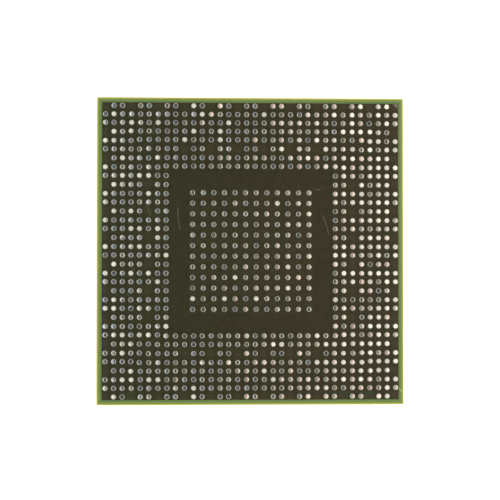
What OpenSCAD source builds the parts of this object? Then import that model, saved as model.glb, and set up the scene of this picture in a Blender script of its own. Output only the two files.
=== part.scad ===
// Flip-chip ball grid array package: a bare silicon die on a square laminate board,
// with capacitors round the die and a field of solder balls on the other side.
// It lies on the back of its die with the balls up. Millimetres, +Z up, and the
// origin is at the centre of the die's back face.

/* [Board] */
// Width and length of the square board
board_w = 29; // [27:0.5:36]
// Radius of the board's corners
board_corner_r = 0.05; // [0.02:0.01:0.5]
// Thickness of the glass-fibre core
core_t = 0.8; // [0.4:0.1:1.6]
// Thickness of the resin build-up on each side of the core
build_up_t = 0.12; // [0.05:0.01:0.3]
// Diameter of the plated vias under the centre balls
via_d = 0.25; // [0.1:0.05:0.35]

/* [Copper and mask] */
// Thickness of the copper on each side
copper_t = 0.02; // [0.01:0.005:0.05]
// Distance from the board's edge to the copper planes
plane_inset = 0.43; // [0.25:0.01:0.48]
// Thickness of the solder mask over the copper
mask_t = 0.02; // [0.01:0.005:0.05]
// Distance from the board's edge to the solder mask
mask_inset = 0.13; // [0.05:0.01:0.2]
// Gap in the copper round each land, pad and test island
copper_gap = 0.06; // [0.04:0.01:0.07]

/* [Ball field] */
// Length of edge that a pair of balls and a single ball share
group_pitch = 2.5; // [2.4:0.05:3]
// Distance between the two balls of a pair
pair_pitch = 0.8; // [0.75:0.05:0.9]
// Distance between the rows along an edge
row_pitch = 0.8; // [0.75:0.05:0.85]
// Extra distance on each side of the row that has the inner vacant sites
row_relief = 0.05; // [0:0.01:0.1]
// Least distance from the board's edge to the outermost single sites
edge_min = 0.7; // [0.6:0.05:1]
// Distance between the balls of the centre field
centre_pitch = 1; // [0.8:0.1:1.27]
// Least width of the bare band between the rows and the centre field
moat_w = 2.4; // [1.5:0.1:3]

/* [Balls and lands] */
// Diameter of a solder ball
ball_d = 0.53; // [0.48:0.01:0.6]
// Diameter of the flat that a test socket pressed on a ball's crown
ball_flat_d = 0.24; // [0.1:0.02:0.3]
// Diameter of the mask opening that a ball stands in
ball_opening_d = 0.45; // [0.3:0.01:0.46]
// Diameter of the copper land under a ball
land_d = 0.55; // [0.48:0.01:0.6]

/* [Die] */
// Length of the die along X
die_l = 11.3; // [6:0.1:15]
// Width of the die along Y
die_w = 10.4; // [6:0.1:15]
// Thickness of the die
die_t = 0.78; // [0.7:0.01:1]
// Gap between the die and the solder mask
standoff = 0.07; // [0.04:0.01:0.12]
// Diameter of a solder bump under the die
bump_d = 0.12; // [0.08:0.01:0.2]
// Distance between bumps
bump_pitch = 0.55; // [0.4:0.05:1]
// Least distance from the die's edge to a bump's centre
bump_edge = 0.3; // [0.15:0.05:0.6]
// How far the underfill spreads past the die's edge
fillet_w = 0.75; // [0.3:0.05:1.2]
// How far the underfill climbs the die's side
fillet_h = 0.5; // [0.2:0.05:0.65]

/* [Capacitors] */
// Capacitors beside each edge of the die
caps_per_side = 4; // [1:1:4]
// Distance between neighbouring capacitors
cap_pitch = 2.3; // [1.8:0.1:2.5]
// Gap between the underfill and the capacitors
cap_gap = 0.9; // [0.3:0.1:1.5]
// Length of a capacitor over its ends
cap_l = 1; // [0.8:0.1:1.2]
// Width of a capacitor
cap_w = 0.5; // [0.3:0.05:0.8]
// Height of a capacitor
cap_h = 0.5; // [0.3:0.05:0.55]
// Length of each plated end
cap_end_l = 0.25; // [0.15:0.05:0.35]
// Thickness of the plating on the ends
plating_t = 0.02; // [0.01:0.005:0.04]
// Thickness of the solder under the ends
solder_t = 0.03; // [0.01:0.005:0.06]
// How high the solder climbs the ends
solder_climb = 0.28; // [0.1:0.02:0.3]
// How far a pad reaches past the end of its capacitor
pad_toe = 0.25; // [0.15:0.05:0.35]
// How far a pad reaches past the side of its capacitor
pad_side = 0.08; // [0.05:0.01:0.15]
// How far the solder mask laps over a pad's edge
mask_lap = 0.04; // [0.02:0.01:0.05]

/* [Marks] */
// Leg of the bare triangle at the first ball's corner, ball side
ball_mark_leg = 0.45; // [0.3:0.05:0.55]
// Leg of the bare triangle at the same corner, die side
die_mark_leg = 1.2; // [0.5:0.1:2]
// Distance from the copper plane's edges to both triangles
mark_inset = 0.09; // [0.05:0.01:0.15]
// Width of the square test islands in the outer row
island_w = 0.6; // [0.4:0.05:0.65]
// Width of the slots in the ball-side copper
slot_w = 0.16; // [0.14:0.01:0.2]

/* [Hidden] */
$fn = 64;

board_t = core_t + 2 * build_up_t;
plane_w = board_w - 2 * plane_inset;
mask_w = board_w - 2 * mask_inset;
mask_top = copper_t + mask_t;

// Heights of the board's two faces, with the die's back at zero
die_side_z = die_t + standoff + mask_top;
ball_side_z = die_side_z + board_t;

// The ball field has 8 rows along each edge, counted from the edge inwards. The sites
// along an edge run single, pair, single, pair, and end on a single.
rows = 8;
void_row = 5;
groups = floor((board_w - 2 * edge_min) / group_pitch);
last_site = 3 * groups;
half_span = groups * group_pitch / 2;

// Where site k lies along its edge
function along(k) = group_pitch * floor(k / 3) - half_span
    + (k % 3 == 0 ? 0 : (group_pitch + (k % 3 == 1 ? -pair_pitch : pair_pitch)) / 2);

// How far row d lies from the middle of the board
function across(d) = half_span - d * row_pitch
    - row_relief * (1 + min(max(d - void_row + 1, 0), 2));

inner_row = across(rows - 1);

// Single sites are vacant in the outer row, and beside the moat in the void row
function vacant(d, k) = k % 3 == 0 && (d == 0 || (d == void_row && abs(along(k)) < inner_row));

// The sites of the front edge. Each edge holds the row ends at its left corner.
front_sites = [
    for (d = [0 : rows - 1]) for (k = [d : last_site - d - 1])
        if (!vacant(d, k)) [k == d ? -across(d) : along(k), -across(d)]
];

centre_half = floor((inner_row - moat_w) / centre_pitch + 0.5);
centre_line = [for (i = [0.5 - centre_half : centre_half - 0.5]) i * centre_pitch];
centre_sites = [for (x = centre_line) for (y = centre_line) [x, y]];

// How far from its middle a sphere of diameter d has narrowed to a circle of diameter cut
function cut_height(d, cut) = sqrt(pow(d / 2, 2) - pow(cut / 2, 2));

// A ball is a sphere that is cut off by its mask opening below and by its flat above
ball_rise = cut_height(ball_d, ball_opening_d);
ball_h = ball_rise + cut_height(ball_d, ball_flat_d);

bumps_x = floor((die_l - 2 * bump_edge) / bump_pitch);
bumps_y = floor((die_w - 2 * bump_edge) / bump_pitch);
bump_sites = [
    for (i = [0 : bumps_x]) for (j = [0 : bumps_y])
        [i - bumps_x / 2, j - bumps_y / 2] * bump_pitch
];

cap_count = 4 * caps_per_side;
cap_seat = mask_top + solder_t;
pad_l = cap_end_l + pad_toe;
pad_w = cap_w + 2 * pad_side;
pad_y = cap_l / 2 - cap_end_l + pad_l / 2;
curve_steps = 6;

cap_names = [for (i = [1 : cap_count]) str(i)];

// ---- Frames and repeats ----

// Layers on the ball side, drawn upwards from the board's face
module on_ball_side() translate([0, 0, ball_side_z]) children();

// Layers on the die side, drawn upwards from the board's face and turned over
module on_die_side() translate([0, 0, die_side_z]) mirror([0, 0, 1]) children();

module at_sites(sites) for (p = sites) translate([p.x, p.y, 0]) children();

module at_all_balls() {
    for (edge = [0 : 3]) rotate(90 * edge) at_sites(front_sites) children();
    at_sites(centre_sites) children();
}

// Places its children at capacitor i, with X outwards and Y along the capacitor
module at_capacitor(i) {
    side = floor(i / caps_per_side);
    slot = i % caps_per_side - (caps_per_side - 1) / 2;
    die_edge = (side % 2 == 0 ? die_l : die_w) / 2;
    rotate(90 * side)
        translate([die_edge + fillet_w + cap_gap + cap_w / 2, slot * cap_pitch, 0]) children();
}

module at_capacitors() for (i = [0 : cap_count - 1]) at_capacitor(i) children();

// Places its children at the two ends of a capacitor
module at_ends() for (s = [0, 1]) mirror([0, s, 0]) children();

// ---- Outlines ----

module rounded_square(w, r) {
    square([w - 2 * r, w], center = true);
    square([w, w - 2 * r], center = true);
    for (x = [-1, 1]) for (y = [-1, 1]) translate([x, y] * (w / 2 - r)) circle(r = r);
}

// A pad grown by g on every side, or shrunk if g is negative
module pad_outline(g) translate([0, pad_y]) square([pad_w + 2 * g, pad_l + 2 * g], center = true);

// The bare triangle in the plane's corner at +X and +Y
module corner_mark(leg) {
    corner = plane_w / 2 - mark_inset;
    polygon([[corner, corner], [corner - leg, corner], [corner, corner - leg]]);
}

// A hollow curve from (0, h) down to (w, 0), with the corner at the origin filled
module hollow_fillet(w, h) polygon(concat(
    [[0, 0]],
    [for (a = [0 : 90 / curve_steps : 90]) [w * (1 - cos(a)), h * (1 - sin(a))]]
));

// ---- Board ----

module board_layer(thickness) difference() {
    linear_extrude(thickness) rounded_square(board_w, board_corner_r);
    at_sites(centre_sites) translate([0, 0, -thickness]) cylinder(d = via_d, h = 3 * thickness);
}

module core_laminate() color("#b9b46a")
    translate([0, 0, die_side_z + build_up_t]) board_layer(core_t);

module ball_side_build_up() color("#a3ab4c")
    translate([0, 0, ball_side_z - build_up_t]) board_layer(build_up_t);

module die_side_build_up() color("#a3ab4c")
    translate([0, 0, die_side_z]) board_layer(build_up_t);

module core_vias() color("#b87333")
    translate([0, 0, die_side_z]) at_sites(centre_sites) cylinder(d = via_d, h = board_t);

// The mask is a film on the copper that steps down to the board round the plane
module mask_film() {
    translate([0, 0, copper_t]) linear_extrude(mask_t) difference() {
        rounded_square(mask_w, board_corner_r);
        children();
    }
    linear_extrude(copper_t) difference() {
        rounded_square(mask_w, board_corner_r);
        square(plane_w, center = true);
    }
}

// ---- Ball side ----

// Three vacant sites of the front row hold a test island
module at_islands() for (k = [3, last_site - 6, last_site - 3])
    translate([along(k), -across(0)]) children();

// Two slots let the plane breathe between rows of balls
module plane_slots() {
    translate([-group_pitch, across(6) + 0.2]) square([slot_w, 1.1], center = true);
    translate([-2 * group_pitch, (across(6) + across(7)) / 2]) square([0.6, slot_w], center = true);
}

module ball_side_copper() color("#8a5a3c") on_ball_side() linear_extrude(copper_t) {
    difference() {
        square(plane_w, center = true);
        at_all_balls() circle(d = land_d + 2 * copper_gap);
        at_islands() square(island_w + 2 * copper_gap, center = true);
        plane_slots();
    }
    at_islands() square(island_w, center = true);
}

module ball_lands() color("#c08a4a") on_ball_side()
    at_all_balls() cylinder(d = land_d, h = copper_t);

module ball_side_mask() color("#3b3a24") on_ball_side() mask_film() {
    at_all_balls() circle(d = ball_opening_d);
    corner_mark(ball_mark_leg);
}

// The solder fills the mask opening and swells above it
module ball() {
    translate([0, 0, copper_t]) cylinder(d = ball_opening_d, h = mask_t);
    translate([0, 0, mask_top]) intersection() {
        translate([0, 0, ball_rise]) sphere(d = ball_d);
        translate([-ball_d / 2, -ball_d / 2, 0]) cube([ball_d, ball_d, ball_h]);
    }
}

module edge_balls(edge) color("#c9c9c4") on_ball_side()
    rotate(90 * edge) at_sites(front_sites) ball();

module balls_centre() color("#c9c9c4") on_ball_side() at_sites(centre_sites) ball();

// ---- Die side ----

module die_side_copper() color("#b87333") on_die_side() linear_extrude(copper_t) difference() {
    square(plane_w, center = true);
    at_capacitors() at_ends() pad_outline(copper_gap);
}

module capacitor_pads() color("#c08a4a") on_die_side() linear_extrude(copper_t)
    at_capacitors() at_ends() pad_outline(0);

module die_side_mask() color("#2f6b3a") on_die_side() mask_film() {
    at_sites(bump_sites) circle(d = bump_d);
    at_capacitors() at_ends() pad_outline(-mask_lap);
    corner_mark(die_mark_leg);
}

module die() color("#4a5058") on_die_side()
    translate([-die_l / 2, -die_w / 2, mask_top + standoff]) cube([die_l, die_w, die_t]);

module die_bumps() color("#b8b8b0") on_die_side() at_sites(bump_sites)
    translate([0, 0, copper_t]) cylinder(d = bump_d, h = mask_t + standoff);

// The underfill fills the gap round the bumps and climbs the die's four sides
module underfill() color("#3a2f2a") on_die_side() translate([0, 0, mask_top]) {
    difference() {
        translate([-die_l / 2, -die_w / 2, 0]) cube([die_l, die_w, standoff]);
        at_sites(bump_sites) translate([0, 0, -standoff]) cylinder(d = bump_d, h = 3 * standoff);
    }
    for (side = [0 : 3]) {
        out = (side % 2 == 0 ? die_l : die_w) / 2;
        run = side % 2 == 0 ? die_w : die_l;
        rotate(90 * side) translate([out, run / 2, 0]) {
            rotate([90, 0, 0]) linear_extrude(run) hollow_fillet(fillet_w, standoff + fillet_h);
            rotate_extrude(angle = 90) hollow_fillet(fillet_w, standoff + fillet_h);
        }
    }
}

// ---- Capacitors ----

module capacitor_block(w, l, h) translate([-w / 2, -l / 2, 0]) cube([w, l, h]);

// The ceramic block, a plating's thickness smaller than its ends all round
module ceramic() translate([0, 0, cap_seat + plating_t])
    capacitor_block(cap_w - 2 * plating_t, cap_l - 2 * plating_t, cap_h - 2 * plating_t);

module capacitor_body(i) color("#b59a72") on_die_side() at_capacitor(i) ceramic();

module capacitor_ends(i) color("#c8c8c0") on_die_side() at_capacitor(i) difference() {
    at_ends() translate([-cap_w / 2, cap_l / 2 - cap_end_l, cap_seat])
        cube([cap_w, cap_end_l, cap_h]);
    ceramic();
}

// The solder fills the mask opening, passes under the end and climbs its face
module solder_joint() {
    wet_w = pad_w - 2 * mask_lap;
    wet_l = pad_l - 2 * mask_lap;
    toe = pad_y + wet_l / 2 - cap_l / 2;
    translate([-wet_w / 2, pad_y - wet_l / 2, copper_t]) cube([wet_w, wet_l, mask_t]);
    translate([-cap_w / 2, pad_y - wet_l / 2, mask_top])
        cube([cap_w, cap_l / 2 - pad_y + wet_l / 2, solder_t]);
    translate([-cap_w / 2, cap_l / 2, mask_top]) rotate([90, 0, 90])
        linear_extrude(cap_w) hollow_fillet(toe, solder_t + solder_climb);
}

module capacitor_solder() color("#b8b8b0") on_die_side() at_capacitors() at_ends() solder_joint();

// ---- Parts ----

die();
die_bumps();
underfill();
die_side_mask();
die_side_copper();
die_side_build_up();
core_laminate();
core_vias();
ball_side_build_up();
ball_side_copper();
ball_lands();
ball_side_mask();
edge_balls(0);  // balls_front
edge_balls(1);  // balls_right
edge_balls(2);  // balls_back
edge_balls(3);  // balls_left
balls_centre();
capacitor_pads();
capacitor_solder();
for (i = [0 : cap_count - 1]) {
    capacitor_body(i);
    capacitor_ends(i);
}
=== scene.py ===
"""Looks, light and camera for the ball grid array package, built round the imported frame."""

import math

import bpy
import numpy as np
from mathutils import Matrix, Vector


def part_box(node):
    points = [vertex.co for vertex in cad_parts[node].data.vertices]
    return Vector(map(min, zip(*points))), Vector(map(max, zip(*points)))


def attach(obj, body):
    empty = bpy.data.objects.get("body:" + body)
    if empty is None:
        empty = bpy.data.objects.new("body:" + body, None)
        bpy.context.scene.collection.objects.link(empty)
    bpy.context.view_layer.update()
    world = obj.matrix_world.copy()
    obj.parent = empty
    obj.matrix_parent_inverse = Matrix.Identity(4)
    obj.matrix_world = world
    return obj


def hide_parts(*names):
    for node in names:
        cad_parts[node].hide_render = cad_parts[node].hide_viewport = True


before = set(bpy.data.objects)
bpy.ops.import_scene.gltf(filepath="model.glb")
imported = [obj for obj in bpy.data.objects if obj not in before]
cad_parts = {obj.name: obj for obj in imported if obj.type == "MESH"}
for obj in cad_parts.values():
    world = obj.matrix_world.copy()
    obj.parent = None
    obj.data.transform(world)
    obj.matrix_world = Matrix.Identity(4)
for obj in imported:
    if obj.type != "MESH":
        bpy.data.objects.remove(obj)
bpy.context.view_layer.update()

# Sizes and places are in mm, unless a line says otherwise
MM = 0.001
MASK_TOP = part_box("ball_side_mask")[1].z / MM
COPPER_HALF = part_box("ball_side_copper")[1].x / MM


# Node helpers

class Signal:
    """A number that varies over a surface: a shader node's output, with Python's arithmetic."""

    def __init__(self, look, socket):
        self.look, self.socket = look, socket

    def _do(self, operation, *others):
        return self.look.math(operation, self, *others)

    def __add__(self, other):
        return self._do("ADD", other)

    def __sub__(self, other):
        return self._do("SUBTRACT", other)

    def __rsub__(self, other):
        return self.look.math("SUBTRACT", other, self)

    def __mul__(self, other):
        return self._do("MULTIPLY", other)

    def __truediv__(self, other):
        return self._do("DIVIDE", other)

    def __abs__(self):
        return self._do("ABSOLUTE")

    def __gt__(self, other):
        return self._do("GREATER_THAN", other)

    def __lt__(self, other):
        return self._do("LESS_THAN", other)

    def round(self):
        return self._do("ROUND")

    def fraction(self):
        return self._do("FRACT")

    def clamp(self, low=0.0, high=1.0):
        return self._do("MAXIMUM", low)._do("MINIMUM", high)


class Look:
    """A node tree under construction, for a material or for the world."""

    def __init__(self, holder):
        self.holder = holder
        holder.use_nodes = True
        self.tree = holder.node_tree
        self.tree.nodes.clear()

    def add(self, kind, **settings):
        node = self.tree.nodes.new("ShaderNode" + kind)
        for key, value in settings.items():
            setattr(node, key, value)
        return node

    def join(self, value, socket):
        """Links a signal or a socket to a node's input, or sets a plain value there."""
        if isinstance(value, Signal):
            value = value.socket
        if isinstance(value, bpy.types.NodeSocket):
            self.tree.links.new(value, socket)
        elif socket.type == "RGBA":
            socket.default_value = (*value, 1)
        else:
            socket.default_value = value

    def math(self, operation, *values):
        node = self.add("Math", operation=operation)
        for value, socket in zip(values, node.inputs):
            self.join(value, socket)
        return Signal(self, node.outputs[0])

    def least(self, *signals):
        found = signals[0]
        for signal in signals[1:]:
            found = self.math("MINIMUM", found, signal)
        return found

    def most(self, *signals):
        found = signals[0]
        for signal in signals[1:]:
            found = self.math("MAXIMUM", found, signal)
        return found

    def length(self, across, along):
        return self.math("SQRT", across * across + along * along)

    def fade(self, signal, start, end):
        """0 up to start and 1 from end on, with a smooth step between. End may be below start."""
        step = self.add("MapRange", interpolation_type="SMOOTHSTEP")
        self.join(signal, step.inputs["Value"])
        rising = start < end
        step.inputs["From Min"].default_value = min(start, end)
        step.inputs["From Max"].default_value = max(start, end)
        step.inputs["To Min"].default_value = 0.0 if rising else 1.0
        step.inputs["To Max"].default_value = 1.0 if rising else 0.0
        return Signal(self, step.outputs["Result"])

    def parts(self, vector):
        """The x, y and z of a vector, as signals."""
        node = self.add("SeparateXYZ")
        self.join(vector, node.inputs[0])
        return [Signal(self, socket) for socket in node.outputs]

    def place(self):
        """The surface point's x, y and z in mm. Noise needs this call before it."""
        spot = self.add("TexCoord").outputs["Object"]
        grown = self.add("VectorMath", operation="SCALE")
        grown.inputs["Scale"].default_value = 1 / MM
        self.join(spot, grown.inputs[0])
        self.spot = grown.outputs[0]
        return self.parts(self.spot)

    def upward(self):
        """How far the surface faces up: 1 on a top, 0 on a side and -1 underneath."""
        return self.parts(self.add("TexCoord").outputs["Normal"])[2]

    def noise(self, per_mm, detail=2.0, stretch=(1, 1, 1), roughness=0.5):
        """Noise from 0 to 1 with a number of lumps to the mm."""
        spot = self.spot
        if stretch != (1, 1, 1):
            pulled = self.add("VectorMath", operation="MULTIPLY")
            self.join(spot, pulled.inputs[0])
            pulled.inputs[1].default_value = stretch
            spot = pulled.outputs[0]
        noise = self.add("TexNoise")
        self.join(spot, noise.inputs["Vector"])
        noise.inputs["Scale"].default_value = per_mm
        noise.inputs["Detail"].default_value = detail
        noise.inputs["Roughness"].default_value = roughness
        return Signal(self, noise.outputs["Fac"])

    def blend(self, factor, first, second):
        """The second colour laid over the first, with the factor as cover."""
        mix = self.add("Mix", data_type="RGBA", clamp_factor=True)
        self.join(factor, mix.inputs[0])
        self.join(first, mix.inputs[6])
        self.join(second, mix.inputs[7])
        return mix.outputs[2]

    def ramp(self, signal, stops):
        """A colour that runs through (place, colour) stops as the signal goes from 0 to 1."""
        node = self.add("ValToRGB")
        marks = node.color_ramp.elements
        while len(marks) < len(stops):
            marks.new(0.5)
        for mark, (place, colour) in zip(marks, stops):
            mark.position = place
            mark.color = (*colour, 1)
        self.join(signal, node.inputs["Fac"])
        return node.outputs["Color"]

    def bump(self, height, depth, under=None):
        """A bump whose height signal of 1 stands this many mm proud, over another if given."""
        bump = self.add("Bump")
        bump.inputs["Distance"].default_value = depth * MM
        self.join(height, bump.inputs["Height"])
        if under is not None:
            self.join(under, bump.inputs["Normal"])
        return bump.outputs["Normal"]

    def end(self, shader, output="OutputMaterial"):
        """Ends the tree in a shader and returns what holds the tree."""
        self.join(shader, self.add(output).inputs["Surface"])
        return self.holder

    def finish(self, **inputs):
        """Ends the tree in a Principled surface with these inputs, spaces as underscores."""
        surface = self.add("BsdfPrincipled")
        for key, value in inputs.items():
            self.join(value, surface.inputs[key.replace("_", " ")])
        return self.end(surface.outputs[0])


def new_look(name):
    return Look(bpy.data.materials.new(name))


def srgb(red, green, blue):
    """A screen colour, written as 0 to 255, as linear light."""
    def linear(level):
        share = level / 255
        return ((share + 0.055) / 1.055) ** 2.4 if share > 0.04045 else share / 12.92
    return tuple(linear(level) for level in (red, green, blue))


# Camera, light and floor

# The camera stands where the photographer's did, and its lens gives the same perspective
LENS = 115.66
CAMERA_PLACE = (-7.92, -3.78, 153.55)
CAMERA_TARGET = (-0.07, 0.10, 1.93)

# The one lamp, a square soft box
BOX_PLACE = (90, -30, 60)
BOX_TARGET = (0, 0, 2)
BOX_SIDE = 60
BOX_WATTS = 0.02
BOX_COLOUR = (1.0, 0.94, 0.88)

# The world's colours depend on the direction, whose parts go from -1 to 1. This is overhead,
# from the far left to the far right, as (sideways part, colour). The balls' flats mirror the
# stretch near 0: from a cool panel through a dark gap to a warm panel with a pink edge.
OVERHEAD = [
    (-1.00, (1.50, 1.52, 1.40)),
    (-0.35, (1.48, 1.50, 1.38)),
    (-0.18, (1.18, 1.22, 1.12)),
    (-0.065, (1.16, 1.20, 1.10)),
    (-0.05, (0.74, 0.84, 0.83)),
    (-0.040, (0.15, 0.22, 0.26)),
    (-0.005, (0.08, 0.12, 0.145)),
    (0.03, (0.05, 0.06, 0.065)),
    (0.07, (0.08, 0.08, 0.07)),
    (0.084, (0.36, 0.34, 0.29)),
    (0.095, (0.62, 0.46, 0.37)),
    (0.107, (1.02, 0.66, 0.52)),
    (0.127, (1.34, 1.08, 0.93)),
    (0.15, (1.52, 1.41, 1.23)),
    (1.00, (1.55, 1.50, 1.34)),
]

# Below that are the walls, down to the horizon, and the heights between which they fade
HORIZON = (0.85, 0.85, 0.81)
WALLS = (0.38, 0.38, 0.35)
HORIZON_FADE = (0.1, 0.35)
OVERHEAD_FADE = (0.45, 0.72)

# The dark spot of the photographer's lens, which the flats mirror too
LENS_SIDEWAYS, LENS_FORWARD = -0.052, -0.025
LENS_FADE = (0.035, 0.02)
LENS_DARK = (0.03, 0.03, 0.04)

# The floor: the distance of its sides from the middle, in metres, and the white that it
# adds of its own, as the camera sees it and as shiny things mirror it
FLOOR_HALF = 1.5
FLOOR_WHITE = (0.85, 0.85, 0.85)
FLOOR_GLOW_SEEN = 0.62
FLOOR_GLOW_MIRRORED = 0.2


def look_at(thing, place, target):
    """Puts a camera or lamp at a place and turns it to a target, with +Y up in its view."""
    back = (Vector(place) - Vector(target)).normalized()
    right = Vector((0, 1, 0)).cross(back).normalized()
    turned = Matrix((right, back.cross(right), back)).transposed().to_4x4()
    turned.translation = Vector(place) * MM
    thing.matrix_world = turned
    bpy.context.scene.collection.objects.link(thing)


def make_camera():
    lens = bpy.data.cameras.new("camera")
    lens.lens = LENS
    lens.clip_start = 0.001
    camera = bpy.data.objects.new("camera", lens)
    look_at(camera, CAMERA_PLACE, CAMERA_TARGET)
    bpy.context.scene.camera = camera


def make_soft_box():
    """A weak warm soft box on the right, which picks out the balls' flanks."""
    light = bpy.data.lights.new("right_box", "AREA")
    light.size = BOX_SIDE * MM
    light.energy = BOX_WATTS
    light.color = BOX_COLOUR
    lamp = bpy.data.objects.new("right_box", light)
    look_at(lamp, BOX_PLACE, BOX_TARGET)
    lamp.visible_camera = False


def make_world():
    """A studio dome: pale at the horizon, then grey walls, then what is overhead.

    It lights the package, while the camera sees plain white.
    """
    world = bpy.data.worlds.new("studio")
    bpy.context.scene.world = world
    look = Look(world)
    across, along, height = look.parts(look.add("TexCoord").outputs["Generated"])
    stops = [(sideways / 2 + 0.5, colour) for sideways, colour in OVERHEAD]
    panels = look.ramp(across * 0.5 + 0.5, stops)
    off_lens = look.length(across - LENS_SIDEWAYS, along - LENS_FORWARD)
    panels = look.blend(look.fade(off_lens, *LENS_FADE), panels, LENS_DARK)
    walls = look.blend(look.fade(height, *HORIZON_FADE), HORIZON, WALLS)
    dome = look.blend(look.fade(height, *OVERHEAD_FADE), walls, panels)
    light = look.add("Background")
    look.join(dome, light.inputs["Color"])
    white = look.add("Background")
    look.join((1, 1, 1), white.inputs["Color"])
    mix = look.add("MixShader")
    look.join(look.add("LightPath").outputs["Is Camera Ray"], mix.inputs[0])
    look.join(light.outputs[0], mix.inputs[1])
    look.join(white.outputs[0], mix.inputs[2])
    look.end(mix.outputs[0], "OutputWorld")


def make_floor():
    """A pale floor, which adds some white of its own for the camera and for shiny things."""
    mesh = bpy.data.meshes.new("floor")
    corners = [(-1, -1), (1, -1), (1, 1), (-1, 1)]
    mesh.from_pydata([(x * FLOOR_HALF, y * FLOOR_HALF, 0) for x, y in corners], [],
                     [(0, 1, 2, 3)])
    floor = bpy.data.objects.new("floor", mesh)
    bpy.context.scene.collection.objects.link(floor)
    look = new_look("floor_paper")
    paper = look.add("BsdfDiffuse")
    look.join(FLOOR_WHITE, paper.inputs["Color"])
    path = look.add("LightPath")
    camera, glossy, clear = (Signal(look, path.outputs[f"Is {kind} Ray"])
                             for kind in ("Camera", "Glossy", "Transmission"))
    glow = look.add("Emission")
    strength = camera * FLOOR_GLOW_SEEN + look.most(glossy, clear) * FLOOR_GLOW_MIRRORED
    look.join(strength, glow.inputs["Strength"])
    both = look.add("AddShader")
    look.join(paper.outputs[0], both.inputs[0])
    look.join(glow.outputs[0], both.inputs[1])
    mesh.materials.append(look.end(both.outputs[0]))


# Where the balls stand. A row is given by its distance from the middle of the board. Pairs
# and singles take turns along it. The single sites of the outermost row are vacant, and so
# are those of the void row that don't lie in a corner.

GROUP_PITCH = 2.5
PAIR_HALF = 0.4
SINGLE = GROUP_PITCH / 2
ROW_PITCH = 0.8
OUTER_FIRST = 13.7
OUTER_LAST = OUTER_FIRST - 4 * ROW_PITCH
VOID_ROW = 9.65
INNER_LAST = 8.0
INNER_FIRST = INNER_LAST + ROW_PITCH
CENTRE_HALF = 6.0
LAND_RADIUS = 0.275
COPPER_GAP = 0.06

# Added to a distance that mustn't count, as it is more than any ball's
FAR = 9


def nearest_row(depth, first, last):
    """The row nearest to a distance from the middle, out of rows from first in to last."""
    steps = ((first - depth.clamp(last, first)) / ROW_PITCH).round()
    return first - steps * ROW_PITCH


def site_distances(look, x, y):
    """How far a point is from the nearest ball's middle, and from the nearest vacant site's."""
    along = look.least(abs(x), abs(y))
    depth = look.most(abs(x), abs(y))
    beyond = depth > (OUTER_LAST + VOID_ROW) / 2
    between = (depth > (VOID_ROW + INNER_FIRST) / 2) - beyond
    row = (nearest_row(depth, OUTER_FIRST, OUTER_LAST) * beyond
           + between * VOID_ROW
           + nearest_row(depth, INNER_FIRST, INNER_LAST) * (1 - beyond - between))
    in_group = abs(along - (along / GROUP_PITCH).round() * GROUP_PITCH)
    to_site = look.least(abs(in_group - PAIR_HALF), abs(in_group - SINGLE))
    at_corner = along > row - PAIR_HALF
    to_site = to_site * (1 - at_corner) + abs(along - row) * at_corner
    off_site = look.length(to_site, depth - row)
    single = in_group > (PAIR_HALF + SINGLE) / 2
    vacant = look.most(single * (depth > OUTER_FIRST - PAIR_HALF),
                       single * (1 - at_corner) * between)
    in_cell = look.length(abs(x).fraction() - 0.5, abs(y).fraction() - 0.5)
    in_centre = in_cell + (depth > CENTRE_HALF) * FAR
    return look.least(off_site + vacant * FAR, in_centre), off_site + (1 - vacant) * FAR


def box_distance(look, x, y, middle, half):
    """How far a point is outside a rectangle, and negative inside it."""
    return look.most(abs(x - middle[0]) - half[0], abs(y - middle[1]) - half[1])


def stroke(look, x, y, start, end, width, bow=0.0):
    """1 along a fine line from start to end, bowed sideways at its middle, and 0 off it."""
    reach = math.dist(start, end)
    way = [(b - a) / reach for a, b in zip(start, end)]
    right, up = x - start[0], y - start[1]
    gone = right * way[0] + up * way[1]
    share = (gone / reach).clamp()
    aside = up * way[0] - right * way[1] - share * (1 - share) * (4 * bow)
    return look.fade(look.length(aside, gone - share * reach), width, width * 0.3)


# Materials

# The ball side's mask over copper, on the left and on the right, where the right one holds
# painted warm light, and what tints it
OLIVE = srgb(49, 47, 27)
# Painted warm light: a warmer copy of the mask colour, laid on towards the right
OLIVE_WARM_LIT = srgb(53, 46, 29)
MOTTLE = srgb(66, 62, 43)
# Painted shade: a darker copy of the mask colour for the moat between the ball fields
MOAT_SHADE = srgb(30, 29, 16)
VACANT = srgb(74, 70, 50)
OPENING_GREEN = srgb(47, 70, 40)

# Mask over resin, beside the copper and further out, and bare resin
GREEN_DEEP = srgb(100, 124, 74)
GREEN = srgb(120, 143, 84)
RESIN = srgb(182, 180, 50)

# Openings in the copper under the mask: slots as (middle, half sides), the gap round each
# square island in the outermost front row, and the die side's vent holes
SLOTS = [((-2.5, 9.0), (0.08, 0.55)), ((-5.0, 8.4), (0.30, 0.08))]
ISLANDS = [-11.25, 8.75, 11.25]
ISLAND_HALF = 0.33
VENT_PITCH = 0.6

# Scratches and fibres on the mask, as (start, end, half width, bow), and specks
FINE_MARKS = [
    ((-6.89, 4.07), (-6.68, 2.06), 0.05, -0.05),
    ((6.85, 3.35), (7.42, 1.54), 0.05, 0.03),
    ((-9.26, 11.0), (-8.16, 13.38), 0.04, 0.2),
    ((-10.03, 4.59), (-9.45, 3.35), 0.04, 0.05),
    ((6.1, 5.83), (6.6, 5.83), 0.06),
    ((-11.2, -1.55), (-10.95, -1.85), 0.04),
    ((-11.65, -4.0), (-11.45, -4.25), 0.04),
    ((-9.3, -2.5), (-9.2, -2.8), 0.04),
    ((-8.35, -3.25), (-8.25, -3.5), 0.04),
]
SPECKS = [(3.07, 6.21), (4.55, 6.07), (-5.81, -7.49)]
MARK_PALE = srgb(150, 148, 130)
NICK = ((14.12, -13.05), (14.45, -13.41), 0.06)
NICK_PALE = srgb(196, 208, 160)


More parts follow.
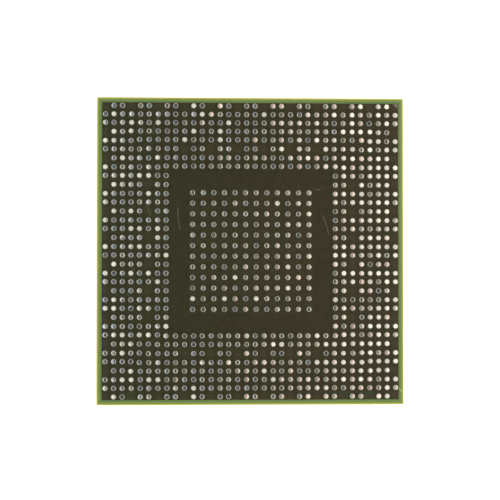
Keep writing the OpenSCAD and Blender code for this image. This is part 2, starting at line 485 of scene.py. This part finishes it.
def copper_tint(look, x, y, depth, to_vacant):
    """The mask's colour over the ball side's copper plane."""
    # Painted warm light: the mask turns from its own olive on the left to a warmer copy on the
    # right
    warm = look.fade(x + look.noise(0.3, 3) * 8, -8, 16)
    colour = look.blend(warm, OLIVE, OLIVE_WARM_LIT)
    mottle = look.noise(1.6, 5, roughness=0.65)
    colour = look.blend(look.fade(mottle, 0.35, 0.7) * 0.35, colour, MOTTLE)
    # Painted shade: the moat between the centre balls and the inner rows is darkened
    moat_shade = look.least(look.fade(depth, CENTRE_HALF - 0.3, CENTRE_HALF),
                      look.fade(depth, INNER_LAST, INNER_LAST - 0.3))
    colour = look.blend(moat_shade * 0.3, colour, MOAT_SHADE)
    colour = look.blend(look.fade(to_vacant, 0.45, 0.1) * 0.2, colour, VACANT)
    slots = [box_distance(look, x, y, *slot) for slot in SLOTS]
    gaps = [abs(box_distance(look, x, y, (middle, -OUTER_FIRST), (ISLAND_HALF, ISLAND_HALF)))
            for middle in ISLANDS]
    openings = look.most(look.fade(look.least(*slots), 0.04, -0.06),
                         look.fade(look.least(*gaps), 0.13, 0.0))
    return look.blend(openings * 0.75, colour, OPENING_GREEN)


def ball_side_mask_look():
    """Green resist: dark brown over the copper plane, and green where there is none under it."""
    look = new_look("olive_mask")
    x, y, _ = look.place()
    depth = look.most(abs(x), abs(y))
    to_ball, to_vacant = site_distances(look, x, y)
    gap_end = LAND_RADIUS + COPPER_GAP
    ring = look.least(look.fade(to_ball, LAND_RADIUS, LAND_RADIUS + 0.02),
                      look.fade(to_ball, gap_end + 0.02, gap_end))
    border = look.fade(depth, COPPER_HALF - 0.07, COPPER_HALF)
    green = look.blend(look.fade(depth, COPPER_HALF, COPPER_HALF + 0.3), GREEN_DEEP, GREEN)
    plane = copper_tint(look, x, y, depth, to_vacant)
    colour = look.blend(look.most(ring * 0.12, border), plane, green)
    specks = (look.fade(look.length(x - right, y - up), 0.07, 0.03) for right, up in SPECKS)
    marks = look.most(*(stroke(look, x, y, *mark) for mark in FINE_MARKS), *specks)
    colour = look.blend(marks * 0.3, colour, MARK_PALE)
    colour = look.blend(stroke(look, x, y, *NICK) * 0.7, colour, NICK_PALE)
    grain = look.noise(14, 3)
    lumps = look.noise(0.9, 4)
    return look.finish(Base_Color=colour, Roughness=lumps * 0.15 + 0.2,
                       Specular_IOR_Level=0.2,
                       Normal=look.bump(grain, 0.002, look.bump(lumps, 0.01)))


def die_side_mask_look():
    """Green resist over the die-side plane, with the plane's vent holes faintly showing."""
    look = new_look("green_mask")
    x, y, _ = look.place()
    depth = look.most(abs(x), abs(y))
    border = look.fade(depth, COPPER_HALF - 0.02, COPPER_HALF + 0.02)
    across, along = ((side / VENT_PITCH).fraction() - 0.5 for side in (x, y))
    off_vent = look.length(across, along) * VENT_PITCH
    vents = look.fade(off_vent, 0.10, 0.07) * (depth < COPPER_HALF - 0.4)
    mottle = look.noise(1.2, 5, roughness=0.6)
    plane = look.blend(look.fade(mottle, 0.3, 0.75), srgb(58, 62, 38), srgb(68, 70, 44))
    colour = look.blend(look.most(border, vents * 0.35), plane, GREEN)
    grain = look.noise(14, 3)
    return look.finish(Base_Color=colour, Roughness=mottle * 0.2 + 0.25,
                       Normal=look.bump(grain, 0.002))


def resin_look(name, top, tone, streak):
    """Glass-filled resin: its bare top, and the sawn sides with glass bundles cut through."""
    look = new_look(name)
    look.place()
    bundles = look.noise(2.2, 3, (1, 1, 7), roughness=0.55)
    saw = look.noise(16, 3, (1, 1, 0.08))
    colour = look.blend(look.fade(bundles, 0.42, 0.6), tone, streak)
    colour = look.blend(look.fade(saw, 0.45, 0.75) * 0.35, colour, srgb(112, 106, 62))
    colour = look.blend(look.fade(abs(look.upward()), 0.3, 0.7), colour, top)
    return look.finish(Base_Color=colour, Roughness=saw * 0.2 + 0.42, Specular_IOR_Level=0.3,
                       Normal=look.bump(bundles * 0.4 + saw * 0.6, 0.006))


def solder_ball_look():
    """Tin-silver solder, duller on the flanks. Each crown carries its own polish and tone."""
    look = new_look("ball_solder")
    look.place()
    own = look.add("Attribute", attribute_name="ball_finish")
    parts = look.add("SeparateColor")
    look.join(own.outputs["Color"], parts.inputs[0])
    rough, tone, metal = (Signal(look, socket) for socket in parts.outputs)
    blotch = look.noise(6, 3)
    colour = look.blend(tone, (0.71, 0.70, 0.655), (0.58, 0.57, 0.55))
    colour = look.blend(look.fade(blotch, 0.5, 0.8) * 0.3, colour, (0.42, 0.40, 0.38))
    flank = look.fade(look.upward(), 0.9, 0.65)
    colour = look.blend(flank, colour, (0.56, 0.56, 0.51))
    frost = look.noise(45, 4, roughness=0.7)
    return look.finish(Base_Color=colour, Metallic=metal + (0.65 - metal) * flank,
                       Roughness=rough + (0.36 - rough) * flank, Specular_IOR_Level=0.3,
                       Normal=look.bump(frost, 0.00015))


def metal_look(name, tone, patch, rough):
    look = new_look(name)
    look.place()
    blotch = look.noise(4, 4)
    colour = look.blend(look.fade(blotch, 0.35, 0.75), tone, patch)
    return look.finish(Base_Color=colour, Metallic=0.9, Roughness=blotch * 0.2 + rough,
                       Normal=look.bump(look.noise(50, 3), 0.0015))


def die_look():
    """Ground silicon: a dark grey mirror with fine arcs left by the grinding wheel."""
    look = new_look("silicon")
    x, y, _ = look.place()
    arcs = look.math("SINE", look.length(x + 30, y - 12) * 90)
    cloud = look.noise(0.5, 4)
    colour = look.blend(cloud, (0.20, 0.21, 0.24), (0.27, 0.28, 0.31))
    return look.finish(Base_Color=colour, Metallic=1.0, Roughness=cloud * 0.1 + 0.2,
                       Normal=look.bump(arcs, 0.0002))


def underfill_look():
    look = new_look("underfill")
    look.place()
    flow = look.noise(2.5, 5)
    colour = look.blend(flow, srgb(24, 24, 26), srgb(44, 42, 40))
    return look.finish(Base_Color=colour, Roughness=flow * 0.3 + 0.25,
                       Normal=look.bump(flow, 0.02))


def ceramic_look():
    look = new_look("ceramic")
    look.place()
    speck = look.noise(20, 4)
    colour = look.blend(look.fade(speck, 0.35, 0.7), srgb(132, 104, 78), srgb(156, 126, 96))
    return look.finish(Base_Color=colour, Roughness=0.4, Normal=look.bump(speck, 0.003))


# Solder balls

# A ball's points: how many round it, the rings above its middle as shares of its radius,
# and the number of rings below
SEGMENTS = 24
RINGS_ABOVE = (0.3, 0.55, 0.69, 0.74, 0.78, 0.81, 0.84, 0.88, 0.92, 0.96, 0.985, 1.0)
RINGS_BELOW = 3
RINGS = len(RINGS_ABOVE) + RINGS_BELOW
POINTS = 1 + (RINGS + 1) * SEGMENTS

# The pressed crown: its flat as a share of the ball's radius, how far the flat is domed, how
# far it may lie below the highest, and the shoulder's power, where 2 would be an ellipse
FLAT_SHARE = (0.70, 0.78)
DOME = 0.0015
SUNK = 0.008
SHOULDER = 1.8

# How far a ball's sides are pulled in by its waves, as a share of its radius
WAVE_SHARE = 0.004

# The crowns' finish, as ranges of roughness and metal and the share that is frosted
FROSTED_SHARE = 0.07
FROSTED = (0.3, 0.4)
METAL = (0.90, 0.99)

# Points this near in height are level, and a crown's points lie within this reach
LEVEL = 0.002
CROWN_REACH = 0.3


def points_of(node):
    """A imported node's points, in mm."""
    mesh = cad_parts[node].data
    points = np.empty(len(mesh.vertices) * 3, np.float32)
    mesh.vertices.foreach_get("co", points)
    return points.reshape(-1, 3) / MM


def middles(points):
    """The middle of each group of points, seen from above."""
    found = []
    while len(points):
        group = np.linalg.norm(points - points[0], axis=1) < CROWN_REACH
        found.append((points[group].min(axis=0) + points[group].max(axis=0)) / 2)
        points = points[~group]
    return np.round(found, 3)


def one_ball(random, radius, crown, foot, askew):
    """One ball's points about its middle: its crown pressed flat, a little askew and wavy."""
    flat = radius * random.uniform(*FLAT_SHARE)
    out = np.array(RINGS_ABOVE) * radius
    share = np.clip((out - flat) / (radius - flat), 0, 1)
    dome = DOME * np.minimum(out / flat, 1) ** 2
    height = crown * (1 - share ** SHOULDER) ** (1 / SHOULDER) - dome
    under = np.linspace(0, math.asin(-foot / radius), RINGS_BELOW + 1)[1:]
    out = np.concatenate([out, radius * np.cos(under)])
    height = np.concatenate([height, -radius * np.sin(under)])
    turn = np.linspace(0, 2 * math.pi, SEGMENTS, endpoint=False)
    points = np.stack([out[:, None] * np.cos(turn), out[:, None] * np.sin(turn),
                       height[:, None] * np.ones_like(turn)], axis=-1).reshape(-1, 3)
    points = np.vstack([[0, 0, crown], points])
    loose = np.clip(points[:, 2] / crown, 0, 1)
    lean = random.normal(scale=askew, size=2)
    points[:, 2] += points[:, :2] @ lean * loose
    points[:, 2] -= loose * (points[:, 2].max() - crown + random.uniform(0, SUNK))
    waves = np.zeros(len(points))
    for _ in range(3):
        spread = random.normal(size=3) * 3 / radius
        waves += np.sin(points @ spread + random.uniform(0, 2 * math.pi))
    free = np.clip(points[:, 2] / crown + 0.4, 0, 1)
    points[:, :2] *= 1 - (np.abs(waves) * WAVE_SHARE * free)[:, None]
    return points


def one_finish(random, polished):
    """One crown's roughness, share of the darker tone, and metal, as a colour."""
    frosted = random.random() < FROSTED_SHARE
    rough = random.uniform(*(FROSTED if frosted else polished))
    metal = random.uniform(*METAL)
    return rough, random.random() ** 2, metal, 1.0


def ball_faces(number):
    """The faces of the ball with this number: its top, the rings down to its foot, its base."""
    first = number * POINTS + 1
    here = np.arange(SEGMENTS)
    after = (here + 1) % SEGMENTS
    faces = [(first - 1, first + a, first + b) for a, b in zip(here, after)]
    for ring in range(RINGS):
        upper, lower = first + ring * SEGMENTS, first + (ring + 1) * SEGMENTS
        faces += [(upper + a, lower + a, lower + b, upper + b) for a, b in zip(here, after)]
    faces.append(tuple(first + RINGS * SEGMENTS + here[::-1]))
    return faces


def make_balls(node, seed, askew, polished):
    """Replaces a node's balls with finer ones that differ a little from each other.

    askew is how far their crowns lean, as a slope, and polished the range of their roughness.
    """
    random = np.random.default_rng(seed)
    packed = points_of(node)
    low, high = packed[:, 2].min(), packed[:, 2].max()
    tops = packed[packed[:, 2] > high - LEVEL]
    feet = packed[packed[:, 2] < low + LEVEL]
    sites = middles(tops[:, :2])
    edge = sites[:, 0].min()
    radius, foot_radius = edge - packed[:, 0].min(), edge - feet[:, 0].min()
    centre_z = MASK_TOP + math.sqrt(radius ** 2 - foot_radius ** 2)
    points, finishes, faces = [], [], []
    for number, site in enumerate(sites):
        ball = one_ball(random, radius, high - centre_z, MASK_TOP - centre_z, askew)
        ball += (*site, centre_z)
        foot = ball[-SEGMENTS:].copy()
        foot[:, 2] = low
        points += [ball, foot]
        faces += ball_faces(number)
        finishes.append(one_finish(random, polished))
    mesh = bpy.data.meshes.new(node + "_fine")
    mesh.from_pydata((np.vstack(points) * MM).tolist(), [], faces)
    finish = mesh.attributes.new("ball_finish", "FLOAT_COLOR", "POINT")
    per_point = np.repeat(np.array(finishes, np.float32), POINTS, axis=0)
    finish.data.foreach_set("color", per_point.ravel())
    mesh.shade_smooth()
    mesh.materials.append(looks["ball_solder"])
    piece = bpy.data.objects.new(node + "_fine", mesh)
    bpy.context.scene.collection.objects.link(piece)
    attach(piece, "root")
    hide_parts(node)


make_camera()
make_world()
make_floor()
make_soft_box()

looks = {
    "olive_mask": ball_side_mask_look(),
    "green_mask": die_side_mask_look(),
    "resin": resin_look("resin", RESIN, srgb(160, 155, 76), srgb(170, 165, 90)),
    "laminate": resin_look("laminate", RESIN, srgb(150, 146, 86), srgb(176, 172, 118)),
    "copper": metal_look("copper", srgb(132, 128, 118), srgb(104, 100, 92), 0.35),
    "land_finish": metal_look("land_finish", srgb(200, 196, 188), srgb(170, 164, 156), 0.3),
    "bump_solder": metal_look("bump_solder", srgb(196, 196, 196), srgb(160, 160, 164), 0.3),
    "plating": metal_look("plating", srgb(206, 204, 200), srgb(176, 172, 168), 0.28),
    "silicon": die_look(),
    "underfill": underfill_look(),
    "ceramic": ceramic_look(),
    "ball_solder": solder_ball_look(),
}
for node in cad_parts.values():
    for entry in node.material_slots:
        entry.material = looks[entry.material.name.split(".")[0]]

for seed, side in enumerate(("front", "right", "back", "left"), start=11):
    make_balls("balls_" + side, seed, askew=0.019, polished=(0.04, 0.12))
make_balls("balls_centre", 15, askew=0.013, polished=(0.06, 0.14))

view = bpy.context.scene.view_settings
view.view_transform = "Standard"
